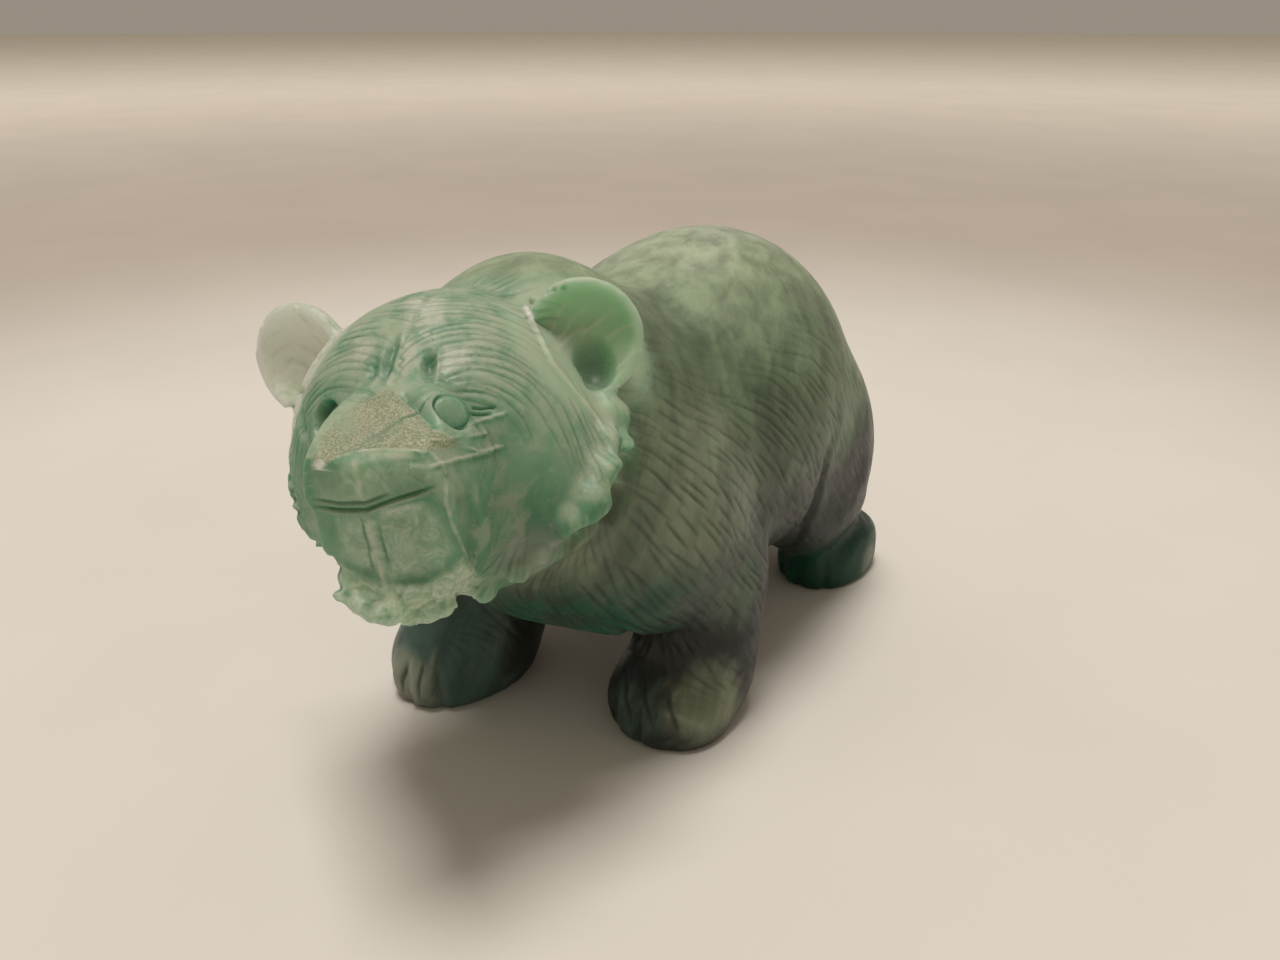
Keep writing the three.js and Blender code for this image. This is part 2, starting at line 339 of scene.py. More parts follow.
def cut_both(lines, width, height, mark=None, taper=USUAL_TAPER):
    """Cuts marks where the picture shows them, and their twins on the other side of the face."""
    for pixels in lines:
        line = on_stone(pixels)
        cut(line, width, height, mark, taper)
        cut(mirrored_line(line), width, height, mark, taper)


# The brow has a ground groove down its middle with a raised lip beside it, an upright notch over each
# eye with a thin rim, and a polished slope beside the bridge. Places are pixels of the picture.
FOREHEAD_GROOVE = [(399, 331), (390, 358), (380, 388)]
FOREHEAD_RIDGE = [(404, 330), (396, 357), (387, 387)]
BRIDGE_SLOPE = [(399, 393), (421, 414), (440, 431)]
BROW_NOTCH = [(431, 348), (429, 366), (428, 386)]
NOTCH_RIM = [(438, 350), (438, 366), (436, 384)]
cut(on_stone(FOREHEAD_GROOVE), width=0.9, height=-0.5, mark="smooth", taper=0.3, flat=0.1)
cut(on_stone(FOREHEAD_RIDGE), width=0.34, height=0.22, taper=0.05)
cut(on_stone(BRIDGE_SLOPE), width=1.0, height=-0.45, mark="smooth")
notch = on_stone(BROW_NOTCH)
cut(notch, width=0.75, height=-0.5, mark="smooth", taper=0.4, flat=0.1)
cut(mirrored_line(notch), width=0.65, height=-0.25, mark="smooth", taper=0.4)
cut(on_stone(NOTCH_RIM), width=0.22, height=0.1, mark="frost")

# The eyes are flat polished discs of the same stone, sunk in the face and set off by a ring cut with a
# small tube drill. They look outward, halfway between the face and the viewer.
EYE_PIXEL = (453.5, 410.5)
FAR_EYE_PIXEL = (325, 420)
EYE_RADIUS = 1.36
EYE_DOME = 0.09
EYE_SINK = 0.45
FAR_EYE_SINK = 0.65
EYE_GLOSS = 0.7
EYE_REACH = 3.2
EYE_RING_WIDTH = 0.28
EYE_RING_DEPTH = 0.17
EYE_OUTWARD = 0.45
EYE_FORWARD = 0.55
BARE_RADIUS = 2.1
BARE_EDGE = 0.4
SOCKET_RADIUS = 4.4
SOCKET_EDGE = 2.2
SOCKET_GLOSS = 0.45
near_eye, outward, _, _ = surface.ray_cast(CAMERA_PLACE, sight(EYE_PIXEL))
far_eye = surface.ray_cast(CAMERA_PLACE, sight(FAR_EYE_PIXEL))[0]
near_axis = (outward * EYE_OUTWARD - sight(EYE_PIXEL) * EYE_FORWARD).normalized()
far_axis = HEAD_AXES.transposed() @ near_axis
far_axis = HEAD_AXES @ Vector((-far_axis.x, far_axis.y, far_axis.z))
for middle, axis, sink in ((near_eye, near_axis, EYE_SINK), (far_eye, far_axis, FAR_EYE_SINK)):
    axis = np.array(axis)
    offset = stone - np.array(middle)
    distance = np.linalg.norm(offset, axis=1)
    depth = offset @ axis
    radius = np.linalg.norm(offset - depth[:, None] * axis, axis=1)
    close = (distance < EYE_REACH) & (facing @ axis > 0)
    dome = np.clip(1 - (radius / EYE_RADIUS) ** 2, 0, 1)
    ring = rounded(np.clip(1 - abs(radius - EYE_RADIUS) / EYE_RING_WIDTH, 0, 1))
    disc = close * rounded(np.clip((EYE_RADIUS + EYE_RING_WIDTH - radius) / EYE_RING_WIDTH, 0, 1))
    drop = disc * (EYE_DOME * dome - sink - depth) - close * EYE_RING_DEPTH * ring
    relief[close] *= (1 - disc)[close]
    moved += drop[:, None] * axis
    marks["smooth"] = np.maximum(marks["smooth"], EYE_GLOSS * disc)
    marks["cut"] = np.maximum(marks["cut"], close * ring)
    clear = np.maximum(clear, close * rounded(np.clip((BARE_RADIUS - radius) / BARE_EDGE, 0, 1)))
    socket = SOCKET_GLOSS * rounded(np.clip((SOCKET_RADIUS - distance) / SOCKET_EDGE, 0, 1))
    marks["smooth"] = np.maximum(marks["smooth"], socket)

FAR_SOCKET = [(299, 404), (301, 424), (306, 440)]
EYE_CORNER_CUTS = [[(470, 408), (483, 409), (498, 407)], [(470, 414), (482, 415), (493, 414)]]
CHEEK_RIDGES = [
    [(470, 424), (489, 418), (509, 412)], [(468, 437), (488, 433)], [(463, 447), (480, 452), (505, 446)],
    [(392, 448), (422, 441), (447, 440), (465, 435)], [(402, 465), (430, 467), (455, 460), (497, 450)],
    [(430, 452), (442, 465), (447, 477)],
]
cut(on_stone(FAR_SOCKET), width=0.9, height=-0.35, mark="smooth", taper=0.3)
cut_both(EYE_CORNER_CUTS, width=0.2, height=-0.2, mark="cut")
cut_all(CHEEK_RIDGES, width=0.24, height=0.14, mark="frost")

# The muzzle is a square block with a frosted edge and a valley behind it. The mouth is one wheel cut
# under the lip, and a stripe with a thin cut at either side runs down the middle of nose and chin.
MUZZLE_EDGE = [(447, 477), (446, 500), (451, 520), (461, 545), (469, 560), (476, 574)]
MUZZLE_VALLEY = [(462, 488), (468, 510), (474, 535), (479, 562)]
MOUTH = [(309, 506), (338, 511), (366, 511), (392, 501), (416, 494), (436, 486)]
UPPER_LIP = [(311, 499), (338, 504), (366, 503), (392, 493)]
LIP_FLAP = [(378, 516), (400, 511), (427, 504)]
NOSE_STRIPE = [(352, 457), (358, 480), (363, 506)]
LIP_STRIPE = [(368, 516), (375, 545), (383, 577), (388, 592)]
LIP_STRIPE_LEFT = [(361, 516), (367, 545), (375, 577)]
LIP_STRIPE_RIGHT = [(376, 516), (383, 545), (392, 577)]
CHIN_STEP = [(392, 580), (405, 586), (420, 582), (434, 585), (445, 573), (455, 566), (463, 553)]
cut(on_stone(MUZZLE_EDGE), width=0.25, height=0.14, mark="frost")
cut_both([MUZZLE_VALLEY], width=1.5, height=-0.4)
cut(on_stone(MOUTH), width=0.28, height=-0.34, mark="cut")
cut(on_stone(UPPER_LIP), width=0.25, height=-0.2, mark="cut")
cut(on_stone(LIP_FLAP), width=0.4, height=0.2, mark="frost")
cut(on_stone(NOSE_STRIPE), width=0.32, height=0.08, mark="frost")
cut(on_stone(LIP_STRIPE), width=0.4, height=0.14, mark="frost")
cut(on_stone(LIP_STRIPE_LEFT), width=0.2, height=-0.14, mark="cut")
cut(on_stone(LIP_STRIPE_RIGHT), width=0.24, height=-0.13, mark="cut", taper=0.4)
cut(on_stone(CHIN_STEP), width=0.45, height=-0.12)

# The bridge of the nose is a flat ground facet with golden sand in its grain, scored across, edged by
# thin ridges, with a painted white highlight at its tip.
BRIDGE = [
    (392, 388), (420, 413), (440, 432), (463, 443), (437, 452), (415, 450), (390, 451), (360, 451),
    (340, 458), (322, 468), (309, 474), (312, 455), (320, 437), (333, 423), (351, 407), (377, 392),
]
BRIDGE_EDGES = [
    [(393, 391), (416, 411), (440, 432), (461, 443)],
    [(318, 468), (333, 459), (352, 452), (374, 450), (400, 450), (437, 453)],
]
NOSE_HIGHLIGHT = [(309, 482), (314, 464), (322, 459), (327, 463), (321, 474), (315, 480)]
FACET_EDGE = 2
SCORES = 9
SCORE_START = (332, 457)
SCORE_STEP = (9, -5)
SCORE_LENGTH = (52, -13)
SCORE_CHANGE = (-3, -1.2)
FRONT_START = -2
FRONT_HALF_WIDTH = 14
FRONT_FOOT = -19
FAR_OFF = 1e9


def polygon_share(corners, soft):
    """How far inside a polygon of the picture each point of the face is seen, from 0 at its edge to 1."""
    turn = np.array(CAMERA_TURN.to_matrix())
    seen = (stone - np.array(CAMERA_PLACE)) @ turn
    across = PICTURE_WIDTH / 2 - FOCAL_PIXELS * seen[:, 0] / seen[:, 2]
    down = PICTURE_HEIGHT / 2 + FOCAL_PIXELS * seen[:, 1] / seen[:, 2]
    inside = np.zeros(count, bool)
    edge = np.full(count, FAR_OFF)
    for (x0, y0), (x1, y1) in zip(corners, corners[1:] + corners[:1]):
        left_of_side = across < (x1 - x0) * (down - y0) / ((y1 - y0) or 1e-9) + x0
        inside ^= ((y0 > down) != (y1 > down)) & left_of_side
        size = (x1 - x0) ** 2 + (y1 - y0) ** 2
        share = np.clip(((across - x0) * (x1 - x0) + (down - y0) * (y1 - y0)) / size, 0, 1)
        edge = np.minimum(edge, np.hypot(across - x0 - share * (x1 - x0), down - y0 - share * (y1 - y0)))
    toward = ((stone - np.array(CAMERA_PLACE)) * facing).sum(1) < 0
    in_width = abs(on_head[:, 0]) < FRONT_HALF_WIDTH
    front = toward & (on_head[:, 1] < FRONT_START) & in_width & (on_head[:, 2] > FRONT_FOOT)
    return np.where(inside & front, np.clip(edge / soft, 0, 1), 0)


marks["gold"] = polygon_share(BRIDGE, FACET_EDGE)
# The white at the tip of the nose is a painted highlight.
marks["chip_and_highlight"] = polygon_share(NOSE_HIGHLIGHT, FACET_EDGE)
cut_all(BRIDGE_EDGES, width=0.22, height=0.14, mark="frost")
for number in range(SCORES):
    start = [place + step * number for place, step in zip(SCORE_START, SCORE_STEP)]
    reach = [length + change * number for length, change in zip(SCORE_LENGTH, SCORE_CHANGE)]
    end = [place + away for place, away in zip(start, reach)]
    cut(on_stone([start, end]), width=0.2, height=-0.13, mark="cut")

# The brow has silvery ground patches, painted pale both as frost and as highlights of the light from above.
# The clear stone of nose, lip and chin is milky inside, and the chin and lip are broken into small flat
# chips.
SILVER_HIGHLIGHT_PATCHES = [
    [(401, 338), (420, 342), (418, 362), (404, 378), (394, 384)],
    [(439, 340), (468, 344), (478, 356), (462, 370), (441, 382)],
    [(352, 338), (378, 336), (372, 362), (352, 374)],
    [(402, 294), (448, 294), (448, 328), (402, 332)],
]
SILVER_HIGHLIGHT_EDGE = 7
CHIN_HAZE = [
    (316, 548), (322, 592), (344, 620), (380, 642), (415, 644), (448, 636), (476, 618), (484, 578),
    (463, 553), (446, 570), (425, 580), (395, 582), (362, 574), (340, 560),
]
LIP_HAZE = [
    (330, 512), (366, 514), (398, 504), (430, 500), (446, 515), (461, 550), (448, 571), (394, 586),
    (336, 560),
]
NOSE_HAZE = [(312, 486), (345, 459), (400, 456), (436, 456), (446, 482), (415, 492), (366, 508), (314, 505)]
CHIN_EDGE = 8
HAZE_EDGE = 12
LIP_MILK = 0.75
NOSE_MILK = 0.72
LIP_BREAKAGE = 0.5
LEAST_SHARE = 0.02


def chipped(where, chips, slope, most, seed):
    """Leaves the stone broken into small flat chips, each tilted its own way."""
    draw = np.random.default_rng(seed)
    rows = np.flatnonzero(where > LEAST_SHARE)
    middles = draw.permutation(rows)[:chips]
    tilts = slope * draw.normal(size=(len(middles), 3))
    nearest = KDTree(len(middles))
    for number, middle in enumerate(middles):
        nearest.insert(stone[middle], number)
    nearest.balance()
    for row in rows:
        middle, number, _ = nearest.find(stone[row])
        relief[row] += where[row] * np.clip((stone[row] - np.array(middle)) @ tilts[number], -most, most)


# The brow patches are painted pale as silver frost and as painted highlights of the light from above.
for corners in SILVER_HIGHLIGHT_PATCHES:
    marks["silver_and_highlight"] = np.maximum(marks["silver_and_highlight"], polygon_share(corners, SILVER_HIGHLIGHT_EDGE))
chin = polygon_share(CHIN_HAZE, CHIN_EDGE)
lip = polygon_share(LIP_HAZE, HAZE_EDGE)
nose = polygon_share(NOSE_HAZE, HAZE_EDGE)
marks["haze"] = np.maximum(np.maximum(chin, LIP_MILK * lip), NOSE_MILK * nose)
chipped(chin, chips=120, slope=0.21, most=0.17, seed=31)
chipped(LIP_BREAKAGE * lip, chips=60, slope=0.12, most=0.12, seed=37)

# The ears are thin cups ground out from the front, with a deep drilled hole at the root, faint ribs
# inside, and a frosted ridge that runs from the near ear down behind the cheek.
EAR_HOLE_PIXEL = (594, 369)
EAR_HOLE_RADIUS = 2.1
EAR_HOLE_DEPTH = 1.3
EAR_HOLE_LENGTH = 1.5
EAR_HOLE_EASE = 0.8
EAR_FRONT = 0.1
EAR_RIDGE = [(525, 305), (532, 322), (552, 364), (572, 390), (590, 412), (609, 437), (616, 446)]
EAR_RIDGE_TIP = [(525, 305), (529, 314), (534, 323)]
EAR_RIBS = [
    [(556, 352), (574, 333), (602, 322)], [(558, 343), (571, 320), (592, 301)],
    [(612, 373), (625, 362), (637, 350)], [(609, 390), (622, 384), (635, 370)],
    [(602, 342), (618, 330), (635, 324)], [(550, 336), (557, 316), (568, 300)],
    [(578, 340), (596, 322), (616, 308)],
]
FAR_EAR_FOLD = [(277, 299), (290, 304), (300, 312), (309, 322), (315, 332)]
FAR_EAR_RIBS = [
    [(254, 352), (270, 336), (288, 325)], [(258, 371), (276, 353), (296, 340)],
    [(265, 388), (283, 370), (302, 354)],
]
hole = surface.ray_cast(CAMERA_PLACE, sight(EAR_HOLE_PIXEL))[0]
for middle in (hole, mirrored_line([hole])[0]):
    spread = (stone - np.array(middle)) @ np.array(HEAD_AXES) / np.array((1, 1, EAR_HOLE_LENGTH))
    off = np.linalg.norm(spread, axis=1)
    pit = rounded(np.clip(1 - off / EAR_HOLE_RADIUS, 0, 1) ** EAR_HOLE_EASE)
    front = facing @ np.array(HEAD_AXES @ Vector((0, -1, 0))) > EAR_FRONT
    relief[front] -= (EAR_HOLE_DEPTH * pit)[front]
    marks["smooth"][front] = np.maximum(marks["smooth"][front], pit[front])
cut_both([EAR_RIDGE], width=0.4, height=0.3, mark="frost")
cut(on_stone(EAR_RIDGE_TIP), width=0.35, height=0.1, mark="chip_and_highlight")
cut_both(EAR_RIBS, width=0.3, height=0.1, mark="frost")
cut(on_stone(FAR_EAR_FOLD), width=0.5, height=0.3, mark="frost", taper=0.2)
cut_all(FAR_EAR_RIBS, width=0.3, height=0.08, mark="frost", taper=0.3)

# The outline of the far cheek, the chin and the top of the near ear is nicked all the way along with a
# small wheel, so that the fur has a ragged edge. No two nicks are quite alike.
FAR_CHEEK_OUTLINE = [(292, 388), (284, 420), (284, 455), (292, 500), (303, 535), (318, 566), (330, 584)]
CHIN_OUTLINE = [(330, 584), (356, 602), (386, 617), (409, 619), (436, 612)]
EAR_TOP = [(531, 301), (545, 292), (562, 288), (582, 289)]
NICK_SHAKE = 0.3
NICK_HALF_LENGTH = 1.6
NICK_TAPER = 0.3
SHALLOWEST_NICK = 0.7
NICK_SPREAD = 0.6


def nick(pixels, spacing, width, depth, seed):
    """Small cuts across the outline, each along the line of sight."""
    draw = np.random.default_rng(seed)
    for start, end in zip(pixels[:-1], pixels[1:]):
        pieces = max(1, round(math.dist(start, end) / spacing))
        for number in range(pieces):
            share = (number + NICK_SHAKE * draw.random()) / pieces
            pixel = [a + (b - a) * share for a, b in zip(start, end)]
            place = surface.find_nearest(beside_stone(surface, pixel))[0]
            away = sight(pixel) * NICK_HALF_LENGTH
            deep = depth * (SHALLOWEST_NICK + NICK_SPREAD * draw.random())
            cut([place - away, place, place + away], width, -deep, mark="cut", taper=NICK_TAPER)


nick(FAR_CHEEK_OUTLINE, spacing=11, width=0.55, depth=0.45, seed=3)
nick(CHIN_OUTLINE, spacing=13, width=0.6, depth=0.32, seed=5)
nick(EAR_TOP, spacing=8, width=0.4, depth=0.3, seed=7)

# Broad shallow hollows set the masses off from each other: one behind the edge of the ruff, so that it
# stands proud of the neck, one in front of each haunch, and one under the rim of the chest.
RUFF_HOLLOW = [(612, 404), (631, 434), (630, 473), (615, 506), (597, 529), (570, 547), (543, 561)]
HAUNCH_CREASE = [(832, 432), (826, 470), (815, 505), (798, 538), (772, 560)]
CHEST_RIM = [(556, 612), (600, 629), (645, 639), (690, 634), (712, 622)]
cut_both([RUFF_HOLLOW], width=1.7, height=-1.1, taper=0.2)
crease = on_stone(HAUNCH_CREASE)
far_crease = [surface.find_nearest(Vector((-place.x, place.y, place.z)))[0] for place in crease]
for line in (crease, far_crease):
    cut(line, width=1.6, height=-0.7, taper=0.3)
cut(on_stone(CHEST_RIM), width=1.3, height=-0.5, taper=0.25)

# The toes of the fore paws are parted by short upright cuts. Pale and teal layers of the crystal come
# out at the paws as short streaks, which are colour in the stone and take nothing away from it.
TOE_CUTS = [
    [(612, 668), (609, 698), (616, 722)], [(627, 664), (625, 698), (632, 730)],
    [(645, 664), (644, 700), (654, 735)], [(668, 682), (670, 708), (679, 738)],
    [(409, 660), (402, 682), (404, 700)], [(425, 655), (418, 686), (420, 705)],
]
PALE_STREAKS = [
    [(700, 679), (692, 695)], [(680, 688), (672, 702)], [(659, 713), (683, 719), (711, 731)],
    [(436, 645), (430, 670), (424, 697)],
]
TEAL_STREAKS = [[(476, 650), (463, 667), (451, 686)], [(540, 612), (548, 634), (545, 655)]]
cut_all(TOE_CUTS, width=0.4, height=-0.3, mark="cut", taper=0.3)
cut_all(PALE_STREAKS, width=0.45, height=0.0, mark="pale", taper=0.2)
cut_all(TEAL_STREAKS, width=0.45, height=0.0, mark="teal", taper=0.2)

# The fur is combed with a fine grinding point: close curved cuts over the brow and cheeks, which whirl
# round the eyes, longer slanting ones over the neck, shoulders and flanks, and hardly any on the
# polished back. Each stroke is a line of its own that follows the way the fur lies.
EYE_SIDE = 4.0
EYE_HEIGHT = 3.5
OUTWARD_LEAN = 0.45
LOW_LEAN = 1.1
SWEPT_BACK = (0.4, 1, -0.2)
BODY_LIE = (0.15, 0.62, -0.78)
TOP_PULL = 1.2
CHEST_PULL = 0.5
HEAD_SIZE = (14.5, 14, 13.5)
MOST_STARTS = 60000
REACH_ALONG = 0.8
STROKE_STEP = 0.5
STROKE_LEAN = math.radians(4)
SHORTEST_STROKE = 0.7
LENGTH_SPREAD = 0.6
SHALLOWEST_STROKE = 0.6
DEPTH_SPREAD = 0.7


def smoothly(value, low, high):
    """How far a value is from low to high, eased at both ends."""
    return rounded(np.clip((value - low) / (high - low), 0, 1))


def combed(direction):
    """A direction for every point of the stone, laid into the surface."""
    direction = direction - (direction * facing).sum(1)[:, None] * facing
    return direction / np.maximum(np.linalg.norm(direction, axis=1), 1e-6)[:, None]


side = np.where(on_head[:, 0] > FACE_MIDDLE, 1.0, -1.0)
across = abs(on_head[:, 0] - FACE_MIDDLE)
out = across - EYE_SIDE
up = on_head[:, 2] - EYE_HEIGHT
span = np.hypot(out, up) + 1e-6
lean = OUTWARD_LEAN + LOW_LEAN * smoothly(-up, low=1, high=9)
whirl = np.stack([side * (up + lean * out) / span, np.zeros(count), (lean * up - out) / span], 1)
swept = np.stack([SWEPT_BACK[0] * side, np.ones(count), np.full(count, SWEPT_BACK[2])], 1)
back_of_head = smoothly(on_head[:, 1], low=-1.0, high=4.0)[:, None]
head_flow = (whirl * (1 - back_of_head) + swept * back_of_head) @ np.array(HEAD_AXES).T
body_flow = np.stack(
    [BODY_LIE[0] * np.sign(stone[:, 0]), np.full(count, BODY_LIE[1]), np.full(count, BODY_LIE[2])], 1)
body_flow[:, 1] += TOP_PULL * smoothly(facing[:, 2], low=0.3, high=0.9)
body_flow[:, 1] -= CHEST_PULL * smoothly(-stone[:, 1], low=12, high=24)
distance_to_head = np.linalg.norm(on_head / np.array(HEAD_SIZE), axis=1)
head_share = smoothly(-distance_to_head, low=-1.25, high=-1.0)
flow = combed(head_flow * head_share[:, None] + body_flow * (1 - head_share)[:, None])


def comb(where, spacing, length, width, depth, seed):
    """Cuts strokes along the flow, an even spacing apart, as deep as the share at their middle."""
    draw = np.random.default_rng(seed)
    rows = np.flatnonzero(where > LEAST_SHARE)
    rows = draw.permutation(rows)[:MOST_STARTS]
    starts = []
    cells = {}
    for row in rows:
        place = stone[row]
        key = tuple((place // length).astype(int))
        nearby = [
            cells.get((key[0] + i, key[1] + j, key[2] + k), ())
            for i in (-1, 0, 1) for j in (-1, 0, 1) for k in (-1, 0, 1)
        ]
        others = [other for group in nearby for other in group]
        if others:
            offset = stone[others] - place
            ahead = offset @ flow[row]
            aside = np.sqrt(np.maximum((offset ** 2).sum(1) - ahead ** 2, 0))
            if ((ahead / (length * REACH_ALONG)) ** 2 + (aside / spacing) ** 2 < 1).any():
                continue
        cells.setdefault(key, []).append(row)
        starts.append(row)
    for row in starts:
        half_length = length * (SHORTEST_STROKE + LENGTH_SPREAD * draw.random()) / 2
        lean = STROKE_LEAN * draw.normal()
        halves = []
        for way in (1, -1):
            place = stone[row].copy()
            at = row
            half = []
            for _ in range(int(half_length / STROKE_STEP)):
                ahead = flow[at]
                aside = np.cross(facing[at], ahead)
                place = place + way * STROKE_STEP * (ahead * math.cos(lean) + aside * math.sin(lean))
                found, at, _ = finder.find(place)
                place = place - ((place - stone[at]) @ facing[at]) * facing[at]
                half.append(place)
            halves.append(half)
        line = halves[1][::-1] + [stone[row]] + halves[0]
        found = around(line, width)
        deep = depth * (SHALLOWEST_STROKE + DEPTH_SPREAD * draw.random()) * where[row]
        if found is None or deep < LEAST_SHARE:
            continue
        near, off, along = found
        shape = (1 - off / width) * np.sqrt(np.clip(np.sin(np.pi * along), 0, 1))
        fur[near] = np.minimum(fur[near], -deep * shape)
        marks["cut"][near] = np.maximum(marks["cut"][near], shape * where[row])


MUZZLE_MIDDLE = (0.6, -13, -1)
MUZZLE_SIZE = (9, 9, 10.5)
EAR_OUT, EAR_BACK, EAR_UP = 12, 0.5, 9
EAR_REACH = 7
CHEEK_OUT, CHEEK_DOWN = 8.5, 1.5
CHEEK_POLISH = 0.88
BACK_POLISH = 0.85
REAR_POLISH = 0.55
PATCH_MIDDLE = 0.72
PATCH_SWING = 0.28
bare = np.maximum(marks["gold"] * 2, clear)
muzzle_distance = np.linalg.norm((on_head - np.array(MUZZLE_MIDDLE)) / np.array(MUZZLE_SIZE), axis=1)
ear_level = np.hypot(across - EAR_OUT, on_head[:, 1] - EAR_BACK)
ear_distance = np.hypot(ear_level, on_head[:, 2] - EAR_UP) / EAR_REACH
off_the_face = smoothly(np.minimum(muzzle_distance, ear_distance), low=1.0, high=1.2)
muzzle_front = smoothly(-on_head[:, 1], low=10.5, high=13) * smoothly(-across, low=-8.5, high=-6.5)
cheek_gap = np.hypot(across - CHEEK_OUT, on_head[:, 2] + CHEEK_DOWN)
inner_cheek = smoothly(-cheek_gap, low=-6.0, high=-3.0) * smoothly(-on_head[:, 1], low=4.5, high=7.5)
ear_inside = smoothly(across, low=8.2, high=9.4) * smoothly(on_head[:, 2], low=4.5, high=6.5)
unpolished = (1 - muzzle_front) * (1 - CHEEK_POLISH * inner_cheek)
head_fur = head_share * unpolished * (1 - ear_inside) * np.clip(1 - bare, 0, 1)
patch_across = np.sin(0.8 * on_head[:, 0] + 1.1)
patch_down = np.sin(0.7 * on_head[:, 2] + 0.5 * on_head[:, 1])
patchy = PATCH_MIDDLE + PATCH_SWING * patch_across * patch_down
comb(head_fur * patchy, spacing=0.57, length=6.0, width=0.2, depth=0.135, seed=11)
above_paws = smoothly(stone[:, 2], low=3, high=8)
off_the_back = 1 - BACK_POLISH * smoothly(facing[:, 2], low=0.25, high=0.75)
off_the_rear = 1 - REAR_POLISH * smoothly(stone[:, 1], low=8, high=26)
body_fur = (1 - head_share) * off_the_face * above_paws * off_the_back * off_the_rear
comb(body_fur, spacing=0.8, length=5.5, width=0.3, depth=0.14, seed=23)

# The clear mint stone of the head ends at the edge of the ruff, which lies further back at the top of the
# head than under the jaw. Then all the carving is put into the mesh, and the mesh is thinned, least on the
# head.
RUFF_BACK = 2.2
RUFF_SLOPE = 1.4
RUFF_HEIGHT = 2.8
RUFF_FRONT = -4.5
CROWN_SLOPE = 0.8
CROWN_HEIGHT = 3
CROWN_SPAN = 6
TRIANGLES = 196000
THINNING = 2e-7
FACE_CARE = 0.9
jaw_edge = np.clip(RUFF_BACK + RUFF_SLOPE * (on_head[:, 2] + RUFF_HEIGHT), RUFF_FRONT, RUFF_BACK)
ruff_edge = jaw_edge + CROWN_SLOPE * np.clip(on_head[:, 2] - CROWN_HEIGHT, 0, CROWN_SPAN)
head_zone = smoothly(-distance_to_head, low=-1.22, high=-1.05)
head_zone *= smoothly(ruff_edge - on_head[:, 1], low=-0.8, high=0.4)
muzzle_or_ear = smoothly(-np.minimum(muzzle_distance, ear_distance), low=-1.22, high=-1.05)
head_zone = np.maximum(head_zone, muzzle_or_ear)
marks["head"] = head_zone
marks["ear"] = smoothly(-ear_distance, low=-1.12, high=-0.9)
relief += fur
stone += facing * relief[:, None] + moved
bear.data.vertices.foreach_set("co", (stone * MM).ravel())
for name, values in marks.items():
    attribute = bear.data.attributes.new(name, "FLOAT", "POINT")
    attribute.data.foreach_set("value", np.clip(values, 0, 1))
thinned = bear.vertex_groups.new(name="thinned")
for index, weight in enumerate(1 - FACE_CARE * head_zone):
    thinned.add([index], weight, "REPLACE")
triangle_count = sum(len(face.vertices) - 2 for face in bear.data.polygons)
kept_share = TRIANGLES / triangle_count
finish_with(bear, "DECIMATE", ratio=kept_share, vertex_group="thinned", vertex_group_factor=THINNING)
choose(bear)
bpy.ops.object.shade_smooth()

# The fluorite itself: bands of colour lie level through the block, purple black in the feet, grey purple
# low on the flank, olive and then pale green toward the back, with milky veils between them.
STREAK_LEAN = math.radians(25)
EVEN = (1, 1, 1)
VEIL_STONE = (0.3, 0.34, 0.25)
BAND_DRIFT = 18.0
LOWEST_BAND = 10.0
HIGHEST_BAND = 60.0
BAND_COLOURS = [
    (0.0, (0.028, 0.031, 0.027)), (0.2, (0.042, 0.041, 0.038)), (0.34, (0.078, 0.09, 0.07)),
    (0.5, (0.175, 0.23, 0.155)), (0.66, (0.2, 0.275, 0.175)), (0.82, (0.24, 0.32, 0.2)),
    (1.0, (0.38, 0.46, 0.3)),
]
fluorite = bpy.data.materials.new("banded_fluorite")
fluorite.use_nodes = True
tree = fluorite.node_tree
shader = tree.nodes["Principled BSDF"]


def add(kind, inputs=None, **settings):
    """Adds a shader node. An input that is another node's socket is linked, and any other is set."""
    made = tree.nodes.new("ShaderNode" + kind)
    for name, value in settings.items():
        setattr(made, name, value)
    for name, value in (inputs or {}).items():
        if isinstance(value, bpy.types.NodeSocket):
            tree.links.new(value, made.inputs[name])
        else:
            made.inputs[name].default_value = value
    return made


def mixed(share, below, above, how="MIX"):
    """One colour laid over another."""
    colours = [(*value, 1) if isinstance(value, tuple) else value for value in (below, above)]
    made = add("Mix", {0: share, 6: colours[0], 7: colours[1]}, data_type="RGBA", blend_type=how)
    return made.outputs[2]


def both(first, second):
    """The share of the stone that two shares have in common."""
    return add("Math", {0: first, 1: second}, operation="MULTIPLY", use_clamp=True).outputs[0]


def between(value, low, high, bottom=0.0, top=1.0):
    """The share of the way from one value to another, eased at both ends."""
    limits = {"Value": value, "From Min": low, "From Max": high, "To Min": bottom, "To Max": top}
    return add("MapRange", limits, interpolation_type="SMOOTHSTEP").outputs[0]


def cloud(scale, detail, roughness=0.55, stretch=EVEN, distortion=0.0):
    """A cloudy pattern in the stone, in clouds to the millimetre, stretched along the bands."""
    leaning = add("Mapping", {"Vector": coordinates, "Rotation": (STREAK_LEAN, 0, 0)}).outputs[0]
    spread = add("Mapping", {"Vector": leaning, "Scale": tuple(part / MM for part in stretch)}).outputs[0]
    look = {"Scale": scale, "Detail": detail, "Roughness": roughness, "Distortion": distortion}
    return add("TexNoise", {"Vector": spread, **look}).outputs["Fac"]


def mark(name):
    """How much of a kind of mark the stone bears, as the carving left it on the mesh."""
    return add("Attribute", attribute_name=name).outputs["Fac"]


